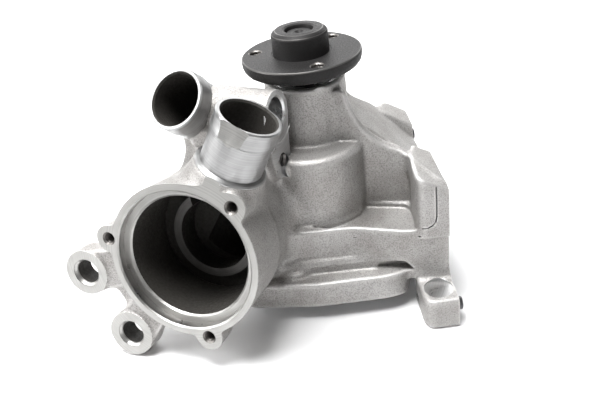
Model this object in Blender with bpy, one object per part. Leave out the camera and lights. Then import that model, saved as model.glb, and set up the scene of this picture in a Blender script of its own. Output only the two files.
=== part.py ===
"""Engine water pump with a built-in thermostat chamber.

The origin is on the shaft axis, at the outer face of the rear cover. +Z runs
along the shaft to the drive flange, and +X points out of the face that bolts
to the engine block.
"""
from math import asin, atan2, cos, pi, radians, sin, sqrt

import bmesh
import bpy
from mathutils import Matrix, Vector

MM = 0.001
FIT = 0.3                    # gap between two pieces that touch on the real pump

# Drive flange and shaft
FLANGE_R = 30.6
FLANGE_TOP = 120.0
FLANGE_THICK = 7.4
NOSE_R = 14.4
NOSE_TOP = 132.0
TAPPED_R = 3.1               # core of the three M8 threads
TAPPED_CIRCLE_R = 24.3
TAPPED_ANGLES = (164.3, 44.3, 284.3)
SHAFT_R = 8.0
SHAFT_NOSE_R = 6.8

# Bearing
TOWER_R = 21.0
TOWER_TOP = 107.0
RING_OUT_R = 17.0
RING_IN_R = 14.6
RING_Z = (63.0, 105.0)
BALL_R = 2.9
BALL_CIRCLE_R = 11.3
BALL_COUNT = 7
ROW_Z = {"front": 94.0, "rear": 74.0}

# Housing levels above the rear face
RIM_TOP = 15.0
SHELF_Z = 39.0
DRUM_TOP = 76.0
DRUM_R = 28.8
BLOCK_X = 61.0               # plane of the face on the engine block
FOOT_Z = -8.0                # lowest level of the ears

# Impeller chamber and rear cover
CHAMBER_R = 33.0
CHAMBER_TOP = 24.0
COVER_R = 40.0
COVER_THICK = 3.0
GASKET_THICK = 0.8
COVER_SCREW_CIRCLE_R = 36.3
SCREW_R = 2.0
SCREW_HEAD_R = 3.0
COVER_SCREW_ANGLES = (20, 80, 140, 200, 260, 320)

# Thermostat chamber
STAT_CENTRE = Vector((-69.9, -68.7, 49.1))
STAT_OUT = Vector((-0.373, -0.902, 0.218)).normalized()
STAT_SEAT_R = 35.1
STAT_BORE_R = 31.0
STAT_WALL_R = 39.0
STAT_SEAT_DEPTH = 5.5
STAT_RING_DEPTH = 34.5
STAT_FLOOR_DEPTH = 39.0
STAT_SCREW_R = 40.4
STAT_SCREW_ANGLES = (11.5, 133.5, 255.0)
STAT_EARS = ((58.7, -12.8), (57.0, -51.8))     # radius and angle of the bolt ears
EAR_R = 12.0
EAR_BOLT_R = 6.1

# Hose stubs
STUB_R = 15.8
STUB_BORE_R = 13.2
STUB_A = (Vector((-63.6, -26.0, 114.0)), Vector((-0.44, -0.60, 0.67)).normalized())
STUB_B = (Vector((-27.9, -55.4, 112.8)), Vector((0.45, -0.10, 0.888)).normalized())

# Side port pad
PAD_CENTRE = Vector((-16.5, -34.0, 102.0))
PAD_OUT = Vector((0.88, -0.47, 0.0)).normalized()
PAD_BORE_R = 8.6

SPARE = 1.5                  # casting left on a face before it is machined

# Outlet to the block
OUTLET_Y, OUTLET_Z, OUTLET_R = 6.0, 25.0, 12.0

# Dowels and tapped holes on the block face, as (y, z)
DOWEL_R = 3.4
DOWELS = ((42.0, 44.0), (-69.0, 1.5))
BLOCK_BOLTS = ((-46.0, 50.0), (-30.0, 42.0), (-60.0, 3.0), (53.0, 1.0))


def clear_scene():
    for item in list(bpy.data.objects):
        bpy.data.objects.remove(item, do_unlink=True)


def material(name, colour, roughness, metallic):
    mat = bpy.data.materials.new(name)
    mat.use_nodes = True
    shader = mat.node_tree.nodes["Principled BSDF"]
    shader.inputs["Base Color"].default_value = (*colour, 1.0)
    shader.inputs["Roughness"].default_value = roughness
    shader.inputs["Metallic"].default_value = metallic
    return mat


def from_bmesh(name, bm):
    bmesh.ops.recalc_face_normals(bm, faces=bm.faces)
    mesh = bpy.data.meshes.new(name)
    bm.to_mesh(mesh)
    bm.free()
    obj = bpy.data.objects.new(name, mesh)
    bpy.context.scene.collection.objects.link(obj)
    return obj


def toward(origin, axis):
    """Matrix that puts local +Z on the axis and the local origin on the point."""
    turn = Vector((0, 0, 1)).rotation_difference(Vector(axis)).to_matrix().to_4x4()
    return Matrix.Translation(Vector(origin) * MM) @ turn


def turned(name, profile, segments=32, place=None, start=0.0):
    """Solid turned about +Z from a closed outline of (radius, height)."""
    bm = bmesh.new()
    rings = []
    for radius, height in profile:
        if radius < 1e-6:
            rings.append([bm.verts.new((0, 0, height * MM))] * segments)
            continue
        rings.append([bm.verts.new((radius * MM * cos(start + 2 * pi * i / segments),
                                    radius * MM * sin(start + 2 * pi * i / segments),
                                    height * MM)) for i in range(segments)])
    for a, b in zip(rings, rings[1:] + rings[:1]):
        for i in range(segments):
            j = (i + 1) % segments
            corners = list(dict.fromkeys((a[i], a[j], b[j], b[i])))
            if len(corners) > 2:
                bm.faces.new(corners)
    obj = from_bmesh(name, bm)
    if place is not None:
        obj.data.transform(place)
    return obj


def rod(name, start, end, r0, r1=None, segments=32):
    """Round bar or cone between two points."""
    start, end = Vector(start), Vector(end)
    length = (end - start).length
    r1 = r0 if r1 is None else r1
    return turned(name, ((0, 0), (r0, 0), (r1, length), (0, length)), segments,
                  toward(start, end - start))


def ring(name, r_in, r_out, z0, z1, segments=32, place=None):
    return turned(name, ((r_in, z0), (r_out, z0), (r_out, z1), (r_in, z1)), segments, place)


def prism(name, outline, z0, z1, place=None):
    """Straight-sided solid over an outline of (x, y) points."""
    bm = bmesh.new()
    low = [bm.verts.new((x * MM, y * MM, z0 * MM)) for x, y in outline]
    high = [bm.verts.new((x * MM, y * MM, z1 * MM)) for x, y in outline]
    bm.faces.new(low)
    bm.faces.new(high)
    for i in range(len(low)):
        j = (i + 1) % len(low)
        bm.faces.new((low[i], low[j], high[j], high[i]))
    obj = from_bmesh(name, bm)
    if place is not None:
        obj.data.transform(place)
    return obj


def hull(name, points):
    bm = bmesh.new()
    for point in points:
        bm.verts.new(Vector(point) * MM)
    made = bmesh.ops.convex_hull(bm, input=bm.verts)
    spare = [v for v in made["geom_interior"] + made["geom_unused"]
             if isinstance(v, bmesh.types.BMVert)]
    bmesh.ops.delete(bm, geom=list(set(spare)), context="VERTS")
    return from_bmesh(name, bm)


def disc_points(centre, axis, radius, segments=24):
    place = toward(centre, axis)
    return [place @ Vector((radius * MM * cos(2 * pi * i / segments),
                            radius * MM * sin(2 * pi * i / segments), 0)) / MM
            for i in range(segments)]


def arc(centre, radius, first, last, count):
    return [(centre[0] + radius * cos(radians(first + (last - first) * i / (count - 1))),
             centre[1] + radius * sin(radians(first + (last - first) * i / (count - 1))))
            for i in range(count)]


def combine(target, tools, operation):
    """Boolean the tools into the target and remove them."""
    group = bpy.data.collections.new("tools")
    bpy.context.scene.collection.children.link(group)
    for tool in tools:
        bpy.context.scene.collection.objects.unlink(tool)
        group.objects.link(tool)
    step = target.modifiers.new("combine", "BOOLEAN")
    step.operation = operation
    step.operand_type = "COLLECTION"
    step.collection = group
    step.solver = "EXACT"
    depsgraph = bpy.context.evaluated_depsgraph_get()
    mesh = bpy.data.meshes.new_from_object(target.evaluated_get(depsgraph))
    target.modifiers.clear()
    target.data = mesh
    for tool in tools:
        bpy.data.objects.remove(tool, do_unlink=True)
    bpy.data.collections.remove(group)
    return target


def tidy(obj, distance=0.004):
    """Join points that a cut left closer together than the tolerance."""
    bm = bmesh.new()
    bm.from_mesh(obj.data)
    bmesh.ops.remove_doubles(bm, verts=bm.verts, dist=distance * MM)
    bm.to_mesh(obj.data)
    bm.free()
    return obj


def finish(obj, mat, smooth=35):
    obj.data.materials.clear()
    obj.data.materials.append(mat)
    obj.data.shade_smooth()
    obj.data.set_sharp_from_angle(angle=radians(smooth))
    return obj


# Frame of the thermostat face: a runs to the ear side, b runs up.
STAT_A = STAT_OUT.cross(Vector((0, 0, 1))).normalized()
STAT_B = STAT_A.cross(STAT_OUT).normalized()


def on_stat(radius, angle, depth=0.0):
    turn = radians(angle)
    return (STAT_CENTRE + radius * cos(turn) * STAT_A + radius * sin(turn) * STAT_B
            - depth * STAT_OUT)


def housing():
    """The aluminium casting: every boss, wall and stub, then every bore."""
    rim = prism("pump_housing",
                [(-46, -50), (-8, -57), (34, -57.5), (40, -54), (42, -42), (57, -40),
                 (57, 40), (40, 46)] + arc((0, 0), 46, 75, 195, 9), 0, RIM_TOP)
    wall = BLOCK_X + SPARE
    bodies = [
        prism("mid", [(-44, -42), (-12, -43.5), (14, -45), (26, -51), (40, -55.5),
                      (wall, -56), (wall, 48), (40, 44)]
              + arc((0, 0), 40, 80, 190, 8), RIM_TOP - 3, SHELF_Z),
        hull("drum", disc_points((-1, -9, SHELF_Z - 2), (0, 0, 1), DRUM_R, 28)
             + disc_points((0, 0, SHELF_Z - 2), (0, 0, 1), DRUM_R, 28)
             + disc_points((-1, -9, DRUM_TOP - 3), (0, 0, 1), DRUM_R, 28)
             + disc_points((0, 0, DRUM_TOP - 3), (0, 0, 1), DRUM_R, 28)
             + disc_points((-1, -8, DRUM_TOP), (0, 0, 1), DRUM_R - 3, 28)
             + disc_points((0, 0, DRUM_TOP), (0, 0, 1), DRUM_R - 3, 28)),
        turned("tower", ((0, SHELF_Z), (TOWER_R + 1, SHELF_Z), (TOWER_R, TOWER_TOP - 1),
                         (TOWER_R - 1, TOWER_TOP), (0, TOWER_TOP)), 28),
        # block-side shell with its sloping roof
        hull("shell", [(10, -15, 30), (44, -19, 30), (wall, -19, 30), (wall, 48, 30),
                       (40, 46, 30), (6, 26, 30), (16, -12, 86), (16, 14, 90),
                       (27, -14, 82), (30, 30, 80), (wall, -19, 47), (wall, 36, 47),
                       (44, 44, 64), (44, -19, 69)]),
        prism("front_web", [(12, 60), (44, 60), (44, 70), (38, 72), (31, 77), (25, 85),
                            (21, 94), (19, 104), (12, 104)], -3, 3,
              Matrix.Translation(Vector((0, -12, 0)) * MM)
              @ Matrix.Rotation(-radians(14), 4, "Z")
              @ Matrix.Rotation(pi / 2, 4, "X")),
        prism("rear_web", [(10, 60), (46, 60), (46, 68), (33, 77), (27, 86), (22, 97),
                           (18, 104), (10, 104)], -3, 3,
              Matrix.Translation(Vector((0, 10, 0)) * MM)
              @ Matrix.Rotation(radians(38), 4, "Z")
              @ Matrix.Rotation(pi / 2, 4, "X")),
        # ears on the block face
        hull("near_ear", [(x, y, z) for x, y in ((45, -53.5), (47.5, -56.8), (wall, -56.8),
                                                 (wall, -14), (51, -14), (46.5, -32))
                          for z in (37.5, 71 - 0.55 * (x - 43.5))]),
        hull("roof_link", [(x, y, top - drop) for drop in (0, 11) for x, y, top in
                           ((40, -17, 70.5), (49, -26, 65), (53, -40, 65.5), (58, -50, 64),
                            (wall, -52, 61), (wall, -19, 50), (40, -6, 66))]),
        hull("far_ear", [(x, y, z) for x, y in ((44, 30), (wall, 30), (wall, 53),
                                                (49, 53), (44, 48)) for z in (30, 66 - 0.6 * (x - 44))]),
        hull("near_foot", [(x, y, z) for x, y in ((44, -72), (47, -76), (wall, -76),
                                                  (wall, -50), (44, -50))
                           for z in (FOOT_Z, 9.5)]),
        hull("near_foot_root", [(44, -60, 9), (wall, -66, 9), (wall, -50, 9),
                                (44, -50, 9), (46, -54, 17), (wall, -56, 17),
                                (wall, -50, 17), (46, -50, 17)]),
        hull("far_foot", [(x, y, z) for x, y in ((44, 38), (wall, 38), (wall, 62),
                                                 (47, 62), (44, 58)) for z in (FOOT_Z, 10)]),
        hull("far_foot_root", [(44, 38, 8), (wall, 38, 8), (wall, 57, 8), (44, 52, 8),
                               (46, 38, 20), (wall, 38, 20), (wall, 48, 20),
                               (46, 44, 20)]),
        prism("block_skirt", [(46, -50), (wall, -50), (wall, 46), (46, 46)], 4,
              RIM_TOP + 2),
        rod("rim_boss", (-18, -42, 0), (-18, -42, 17.5), 8.0, 7.2, 20),
    ]

    # thermostat chamber
    back = STAT_CENTRE - 44 * STAT_OUT
    bodies += [
        hull("stat_barrel", disc_points(STAT_CENTRE + SPARE * STAT_OUT, STAT_OUT, STAT_WALL_R, 36)
             + disc_points(STAT_CENTRE - 30 * STAT_OUT, STAT_OUT, 37.5, 36)
             + disc_points(back, STAT_OUT, 34, 36)),
        hull("stat_neck", disc_points(STAT_CENTRE - 34 * STAT_OUT, STAT_OUT, 35, 24)
             + disc_points((-22, -14, 34), STAT_OUT, 27, 24)),
        hull("stat_foot", [(-58, -46, 0.5), (-30, -52, 0.5), (-26, -38, 0.5), (-44, -30, 0.5),
                           (-60, -46, 24), (-28, -50, 30), (-24, -36, 30), (-46, -28, 30)]),
    ]
    for angle in STAT_SCREW_ANGLES:
        bodies.append(hull("screw_lug", disc_points(on_stat(STAT_SCREW_R, angle, -SPARE), STAT_OUT, 7.0, 10)
                           + disc_points(on_stat(STAT_SCREW_R, angle, 15), STAT_OUT, 6.4, 10)
                           + disc_points(on_stat(STAT_SCREW_R - 9, angle, -SPARE), STAT_OUT, 7.0, 10)
                           + disc_points(on_stat(STAT_SCREW_R - 9, angle, 26), STAT_OUT, 6.0, 10)))
    for radius, angle in STAT_EARS:
        bodies.append(hull("bolt_ear", disc_points(on_stat(radius, angle, 1.5), STAT_OUT, EAR_R, 16)
                           + disc_points(on_stat(radius, angle, 14), STAT_OUT, EAR_R, 16)
                           + disc_points(on_stat(radius - 26, angle, 3), STAT_OUT, 9, 8)
                           + disc_points(on_stat(radius - 26, angle, 15), STAT_OUT, 9, 8)))
    bodies.append(hull("ear_web", [point for radius, angle in STAT_EARS for depth in (3.5, 11)
                                   for point in disc_points(on_stat(radius - 2, angle, depth),
                                                            STAT_OUT, 8.5, 8)]
                       + [on_stat(32, angle, depth) for angle in (-5, -58) for depth in (3.5, 11)]))

    # hose stubs, their root bosses and the side port
    for (rim_point, out), length in ((STUB_A, 50), (STUB_B, 46)):
        place = toward(rim_point, -out)
        bodies.append(turned("stub", ((0, 0), (STUB_R - 0.6, 0), (STUB_R, 0.8), (STUB_R, 9),
                                      (STUB_R - 0.6, 9.6), (STUB_R - 0.6, 27), (STUB_R + 1.6, 27.6),
                                      (STUB_R + 1.6, 32), (STUB_R + 3, 36), (STUB_R + 3, length),
                                      (0, length)), 24, place))
    bodies += [
        hull("stub_root", disc_points(STUB_A[0] - 34 * STUB_A[1], STUB_A[1], 18.5, 20)
             + disc_points(STUB_A[0] - 52 * STUB_A[1], STUB_A[1], 17, 20)
             + disc_points(STAT_CENTRE - 33 * STAT_OUT + Vector((0, 0, 12)), STAT_OUT, 19, 20)
             + disc_points((-24, -6, 62), (0, 0, 1), 14, 12)),
        hull("stub_web", [(-56, -12, 92), (-52, -8, 92), (-36, -32, 90), (-30, -26, 90),
                          (-58, -16, 102), (-54, -10, 102), (-38, -34, 96), (-32, -28, 96)]),
        hull("saddle", disc_points(STAT_CENTRE - 22 * STAT_OUT + Vector((0, 0, 24)), STAT_OUT, 14, 20)
             + disc_points(STUB_B[0] - 34 * STUB_B[1], STUB_B[1], 19, 24)
             + disc_points((-36, -16, 60), (0, 0, 1), 14, 16)),
        hull("port_boss", disc_points(PAD_CENTRE - 4 * PAD_OUT, PAD_OUT, 11.8, 20)
             + disc_points(PAD_CENTRE - 34 * PAD_OUT, PAD_OUT, 12.8, 20)),
        hull("pad", disc_points(PAD_CENTRE, PAD_OUT, 12.2, 20)
             + disc_points(PAD_CENTRE - 6 * PAD_OUT, PAD_OUT, 12.2, 20)
             + disc_points(PAD_CENTRE + Vector((0, 0, -25)), PAD_OUT, 9, 12)
             + disc_points(PAD_CENTRE + Vector((0, 0, -25)) - 14 * PAD_OUT, PAD_OUT, 9, 12)
             + disc_points(PAD_CENTRE + Vector((0, 0, -12)) - 14 * PAD_OUT, PAD_OUT, 9, 12)),
    ]
    casting = combine(rim, bodies, "UNION")

    # bores, threads and pockets
    over = 2.0                                    # how far a cutter runs past the metal
    face = toward(STAT_CENTRE, -STAT_OUT)
    ring_centre = STAT_CENTRE - STAT_RING_DEPTH * STAT_OUT
    cuts = [
        prism("block_facing", [(BLOCK_X, -90), (BLOCK_X + 9, -90), (BLOCK_X + 9, 80),
                               (BLOCK_X, 80)], -20, 90),
        turned("stat_facing", ((0, -9), (90, -9), (90, 0), (0, 0)), 16, face),
        turned("stat_bore", ((0, -over), (STAT_SEAT_R, -over), (STAT_SEAT_R, STAT_SEAT_DEPTH),
                             (STAT_BORE_R, STAT_SEAT_DEPTH + 0.5), (STAT_BORE_R, STAT_FLOOR_DEPTH),
                             (23.4, STAT_FLOOR_DEPTH), (23.4, STAT_RING_DEPTH),
                             (0, STAT_RING_DEPTH)), 36, face),
        rod("inlet_bore", ring_centre + STAT_OUT, ring_centre - 14 * STAT_OUT, 18.9, 18.9, 28),
        rod("inlet", ring_centre - 9 * STAT_OUT, (-14, -10, 15), 15.0, 11.0, 16),
        ring("chamber", 0.0, CHAMBER_R, 2, CHAMBER_TOP, 36),
        turned("cover_seat", ((0, -over), (COVER_R + FIT, -over),
                              (COVER_R + FIT, COVER_THICK + GASKET_THICK + 2 * FIT),
                              (0, COVER_THICK + GASKET_THICK + 2 * FIT)), 36),
        rod("outlet", (20, OUTLET_Y, 15), (BLOCK_X + over, OUTLET_Y, OUTLET_Z), 9.5, OUTLET_R, 20),
        ring("outlet_groove", OUTLET_R + 2.4, OUTLET_R + 5.6, -2.3, over, 24,
             toward((BLOCK_X, OUTLET_Y, OUTLET_Z), (1, 0, 0))),
        turned("shaft_bore", ((0, CHAMBER_TOP - 1), (16.3, CHAMBER_TOP - 1), (16.3, 42),
                              (12.5, 42), (12.5, RING_Z[0] - 1), (RING_OUT_R + FIT, RING_Z[0] - 1),
                              (RING_OUT_R + FIT, TOWER_TOP + over), (0, TOWER_TOP + over)), 28),
        rod("core_hole", (0, 30, 19), (0, 60, 19), 8.0, 8.0, 16),
        rod("port_bore", PAD_CENTRE + over * PAD_OUT, PAD_CENTRE - 34 * PAD_OUT, PAD_BORE_R,
            PAD_BORE_R, 18),
        # long scoop above the rim
        hull("scoop", [(14, -58, 15.2), (44, -58, 15.2), (40, -48, 15.2), (26, -46, 15.2),
                       (20, -58, 21), (42, -58, 21), (38, -51, 20), (26, -50, 20)]),
    ]
    for rim_point, out in (STUB_A, STUB_B):
        cuts.append(rod("stub_bore", rim_point + over * out, rim_point - 46 * out,
                        STUB_BORE_R, STUB_BORE_R, 24))
    cuts += [
        rod("stub_a_way", STUB_A[0] - 40 * STUB_A[1], STAT_CENTRE - 30 * STAT_OUT
            + Vector((0, 0, 14)), 11.5, 11.5, 16),
        rod("stub_b_way", STUB_B[0] - 38 * STUB_B[1], STAT_CENTRE - 24 * STAT_OUT
            + Vector((0, 0, 8)), 11.5, 11.5, 16),
    ]
    casting = combine(casting, cuts, "DIFFERENCE")

    cuts = [
        rod("weep", (0, 9, 50), (-14, 60, 50), 2.6, 2.6, 8),
        rod("port_thread", PAD_CENTRE + Vector((0, 0, -24)) + over * PAD_OUT,
            PAD_CENTRE + Vector((0, 0, -24)) - 9 * PAD_OUT, 2.6, 2.6, 8),
        rod("rim_thread", (-18, -42, 20), (-18, -42, 5), 2.6, 2.6, 8),
        # clearance for the bolt head above the near foot
        rod("spot_face", (53.4, -65, 8.6), (53.4, -65, 24), 8.7, 8.7, 16),
        # flat under the lower thermostat ear, level with the feet
        prism("ear_flat", [(-110, -90), (-60, -90), (-60, -40), (-110, -40)], FOOT_Z - 8, FOOT_Z),
    ]
    for angle in STAT_SCREW_ANGLES:
        cuts.append(rod("stat_thread", on_stat(STAT_SCREW_R, angle, -over),
                        on_stat(STAT_SCREW_R, angle, 12.5), 2.6, 2.6, 8))
    for radius, angle in STAT_EARS:
        cuts.append(rod("ear_bolt", on_stat(radius, angle, -over),
                        on_stat(radius, angle, 15 + over), EAR_BOLT_R, EAR_BOLT_R, 14))
    for angle in COVER_SCREW_ANGLES:
        x, y = COVER_SCREW_CIRCLE_R * cos(radians(angle)), COVER_SCREW_CIRCLE_R * sin(radians(angle))
        cuts.append(rod("cover_thread", (x, y, 2), (x, y, 13.5), SCREW_R + FIT, SCREW_R + FIT, 8))
    for y, z in BLOCK_BOLTS:
        cuts.append(rod("block_bolt", (BLOCK_X - 13, y, z), (BLOCK_X + over, y, z), 3.4, 3.4, 8))
    for y, z in DOWELS:
        cuts.append(rod("dowel_hole", (BLOCK_X - 9 - FIT, y, z), (BLOCK_X + over, y, z),
                        DOWEL_R + FIT, DOWEL_R + FIT, 12))
    return tidy(combine(casting, cuts, "DIFFERENCE"))


def drive_flange():
    low = FLANGE_TOP - FLANGE_THICK
    part = turned("drive_flange",
                  ((SHAFT_NOSE_R + FIT, low - 3), (12.5, low - 3), (12.5, low),
                   (FLANGE_R - 3.0, low), (FLANGE_R - 0.8, low + 1.6), (FLANGE_R, low + 3.2),
                   (FLANGE_R, FLANGE_TOP - 0.5), (FLANGE_R - 0.5, FLANGE_TOP),
                   (NOSE_R, FLANGE_TOP), (NOSE_R, NOSE_TOP - 1.8), (NOSE_R - 2.1, NOSE_TOP),
                   (SHAFT_NOSE_R + 0.9, NOSE_TOP), (SHAFT_NOSE_R + FIT, NOSE_TOP - 0.8)), 36)
    holes = []
    for angle in TAPPED_ANGLES:
        x, y = TAPPED_CIRCLE_R * cos(radians(angle)), TAPPED_CIRCLE_R * sin(radians(angle))
        holes.append(rod("tapped", (x, y, low - 2), (x, y, FLANGE_TOP + 2), TAPPED_R, TAPPED_R, 12))
    return combine(part, holes, "DIFFERENCE")


def rear_cover():
    part = turned("rear_cover", ((0, 0), (COVER_R - 0.6, 0), (COVER_R, 0.6),
                                 (COVER_R, COVER_THICK), (0, COVER_THICK)), 32)
    holes = []
    for angle in COVER_SCREW_ANGLES:
        x, y = COVER_SCREW_CIRCLE_R * cos(radians(angle)), COVER_SCREW_CIRCLE_R * sin(radians(angle))
        holes.append(turned("hole", ((0, -1), (SCREW_HEAD_R + FIT, -1), (SCREW_HEAD_R + FIT, 0.3),
                                     (SCREW_R + FIT, 1.5), (SCREW_R + FIT, 5), (0, 5)), 12,
                            Matrix.Translation((x * MM, y * MM, 0))))
    return combine(part, holes, "DIFFERENCE")


def cover_gasket():
    z0 = COVER_THICK + FIT
    part = ring("cover_gasket", CHAMBER_R + 0.3, COVER_R - 0.3, z0, z0 + GASKET_THICK, 32)
    holes = []
    for angle in COVER_SCREW_ANGLES:
        x, y = COVER_SCREW_CIRCLE_R * cos(radians(angle)), COVER_SCREW_CIRCLE_R * sin(radians(angle))
        holes.append(rod("hole", (x, y, z0 - 1), (x, y, z0 + 2), SCREW_R + FIT, SCREW_R + FIT, 8))
    return combine(part, holes, "DIFFERENCE")


def cover_screw(index, angle):
    x, y = COVER_SCREW_CIRCLE_R * cos(radians(angle)), COVER_SCREW_CIRCLE_R * sin(radians(angle))
    part = turned(f"cover_screw_{index}",
                  ((0, 0.3), (SCREW_HEAD_R, 0.3), (SCREW_HEAD_R, 0.5), (SCREW_R, 1.7),
                   (SCREW_R, 12), (SCREW_R - 0.5, 12.6), (0, 12.6)), 12, Matrix.Translation((x * MM, y * MM, 0)))
    socket = turned("socket", ((0, -1), (1.2, -1), (1.2, 1.7), (0, 1.7)), 6,
                    Matrix.Translation((x * MM, y * MM, 0)))
    return combine(part, [socket], "DIFFERENCE")


def dowel(name, y, z):
    return turned(name, ((0, -9), (DOWEL_R - 0.6, -9), (DOWEL_R, -8.4), (DOWEL_R, 2.4),
                         (DOWEL_R - 0.6, 3), (0, 3)), 12, toward((BLOCK_X, y, z), (1, 0, 0)))


def outlet_seal():
    middle, wire = OUTLET_R + 4.0, 1.3
    profile = [(middle + wire * cos(radians(a)), -1.0 + wire * sin(radians(a)))
               for a in range(0, 360, 60)]
    return turned("outlet_seal_ring", profile, 24,
                  toward((BLOCK_X, OUTLET_Y, OUTLET_Z), (1, 0, 0)))


def core_plug():
    y = 41.0
    return turned("core_plug", ((0, 0), (7.2, 0), (7.6, 0.5), (7.6, 3.4), (6.6, 3.4),
                                (6.6, 1.2), (0, 1.2)), 16, toward((0, y - 4, 19), (0, 1, 0)))


def weep_cap():
    start, end = Vector((0, 9, 50)), Vector((-14, 60, 50))
    way = (end - start).normalized()
    wall = start + way * 21.0
    return turned("weep_cap", ((0, -6), (2.2, -6), (2.2, 0.6), (4.2, 0.6), (4.2, 1.6),
                               (3.4, 2.4), (0, 2.4)), 10, toward(wall, way))


def shaft():
    return turned("pump_shaft",
                  ((0, 6), (7.4, 6), (SHAFT_R, 6.6), (SHAFT_R, 107.5), (SHAFT_NOSE_R, 108),
                   (SHAFT_NOSE_R, NOSE_TOP - 2.6), (SHAFT_NOSE_R - 1, NOSE_TOP - 1.8),
                   (2.4, NOSE_TOP - 1.8), (0, NOSE_TOP - 3.8)), 24)


def balls(row):
    mesh = None
    made = []
    for i in range(BALL_COUNT):
        turn = 2 * pi * i / BALL_COUNT
        name = f"{row}_ball_{i + 1}"
        if mesh is None:
            bm = bmesh.new()
            bmesh.ops.create_icosphere(bm, subdivisions=2, radius=BALL_R * MM)
            mesh = bpy.data.meshes.new(f"{row}_ball")
            bm.to_mesh(mesh)
            bm.free()
        obj = bpy.data.objects.new(name, mesh)
        obj.location = (BALL_CIRCLE_R * MM * cos(turn), BALL_CIRCLE_R * MM * sin(turn),
                        ROW_Z[row] * MM)
        bpy.context.scene.collection.objects.link(obj)
        made.append(obj)
    return made


def cage(row):
    """Crown cage: a flat ring beside the balls with a finger between each pair."""
    side = 1 if row == "front" else -1
    z = ROW_Z[row]
    near, far = z + side * (BALL_R + 0.4), z + side * (BALL_R + 1.7)
    part = ring(f"{row}_cage", 9.4, 13.2, min(near, far), max(near, far), 24)
    fingers = []
    for i in range(BALL_COUNT):
        turn = 2 * pi * (i + 0.5) / BALL_COUNT
        z0, z1 = sorted((near + side * 0.5, z - side * 1.5))
        fingers.append(prism("finger", [(10.3, -0.9), (12.3, -1.1), (12.3, 1.1), (10.3, 0.9)],
                             z0, z1, Matrix.Rotation(turn, 4, "Z")))
    return combine(part, fingers, "UNION")


def impeller():
    """Open impeller: hub and back plate with blades curved back from the rotation."""
    part = turned("impeller", ((SHAFT_R + FIT, 7.5), (11.5, 7.5), (11.5, 16.5), (29, 19.0),
                               (29, 21.0), (12, 22.0), (SHAFT_R + FIT, 22.0)), 32)
    blades = []
    for i in range(6):
        inner, outer = [], []
        for step in range(5):
            share = step / 4
            radius = 10.6 + (28.2 - 10.6) * share
            turn = radians(-46 * share) + 2 * pi * i / 6
            half = 0.9 / radius
            inner.append((radius * cos(turn - half), radius * sin(turn - half)))
            outer.append((radius * cos(turn + half), radius * sin(turn + half)))
        blades.append(prism("blade", inner + outer[::-1], 8.0, 19.6))
    return combine(part, blades, "UNION")


def build():
    clear_scene()
    cast = material("cast_aluminium", (0.66, 0.66, 0.65), 0.5, 0.9)
    black = material("black_oxide_steel", (0.035, 0.035, 0.038), 0.38, 0.8)
    steel = material("ground_steel", (0.56, 0.57, 0.58), 0.22, 1.0)
    zinc = material("zinc_steel", (0.62, 0.63, 0.64), 0.32, 1.0)
    dark_steel = material("dark_steel", (0.12, 0.12, 0.125), 0.4, 0.9)
    fibre = material("gasket_fibre", (0.10, 0.11, 0.11), 0.85, 0.0)
    rubber = material("black_rubber", (0.02, 0.02, 0.02), 0.6, 0.0)
    carbon = material("carbon", (0.05, 0.05, 0.05), 0.45, 0.0)
    ceramic = material("ceramic", (0.86, 0.85, 0.80), 0.25, 0.0)
    nylon = material("cage_nylon", (0.45, 0.30, 0.14), 0.5, 0.0)
    iron = material("impeller_steel", (0.30, 0.30, 0.31), 0.45, 0.9)

    finish(housing(), cast)
    finish(rear_cover(), cast)
    finish(cover_gasket(), fibre)
    for index, angle in enumerate(COVER_SCREW_ANGLES, 1):
        finish(cover_screw(index, angle), zinc)
    finish(dowel("dowel_upper", *DOWELS[0]), dark_steel)
    finish(dowel("dowel_lower", *DOWELS[1]), dark_steel)
    finish(outlet_seal(), rubber)
    finish(core_plug(), zinc)
    finish(weep_cap(), rubber)

    finish(ring("bearing_outer_ring", RING_IN_R, RING_OUT_R, *RING_Z, 28), steel)
    finish(ring("bearing_seal_front", SHAFT_R + 0.4, RING_IN_R - FIT, RING_Z[1] - 2.5,
                RING_Z[1] - 1.0, 20), rubber)
    finish(ring("bearing_seal_rear", SHAFT_R + 0.4, RING_IN_R - FIT, RING_Z[0] + 1.0,
                RING_Z[0] + 2.5, 20), rubber)
    for row in ROW_Z:
        for ball in balls(row):
            finish(ball, steel)
        finish(cage(row), nylon)

    finish(shaft(), steel)
    finish(drive_flange(), black, 25)
    finish(ring("slinger_ring", SHAFT_R + FIT, 11.6, 54, 57, 20), rubber)
    finish(turned("seal_cup", ((15.0, 31.5), (16.0, 31.5), (16.0, 41.7), (9.6, 41.7),
                               (9.6, 40.7), (15.0, 40.7)), 24), zinc)
    finish(turned("seal_bellows", ((9.4, 33.0), (14.2, 33.0), (14.2, 34.6), (12.6, 36.4),
                                   (14.4, 38.4), (14.4, 40.3), (9.4, 40.3)), 20), rubber)
    finish(ring("seal_carbon_ring", 9.4, 13.4, 28.4, 32.6, 20), carbon)
    finish(ring("seal_seat_ring", SHAFT_R + FIT, 13.4, 23.6, 28.0, 20), ceramic)
    finish(impeller(), iron)


build()
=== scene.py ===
"""Water pump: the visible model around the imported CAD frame.

Lengths are in millimetres until a mesh is made. The casting is a distance field
with rounded unions, turned into a mesh, and then machined with sharp cutters.
"""
from math import cos, pi, radians, sin

import bmesh
import bpy
import numpy as np
from mathutils import Matrix, Vector


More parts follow.
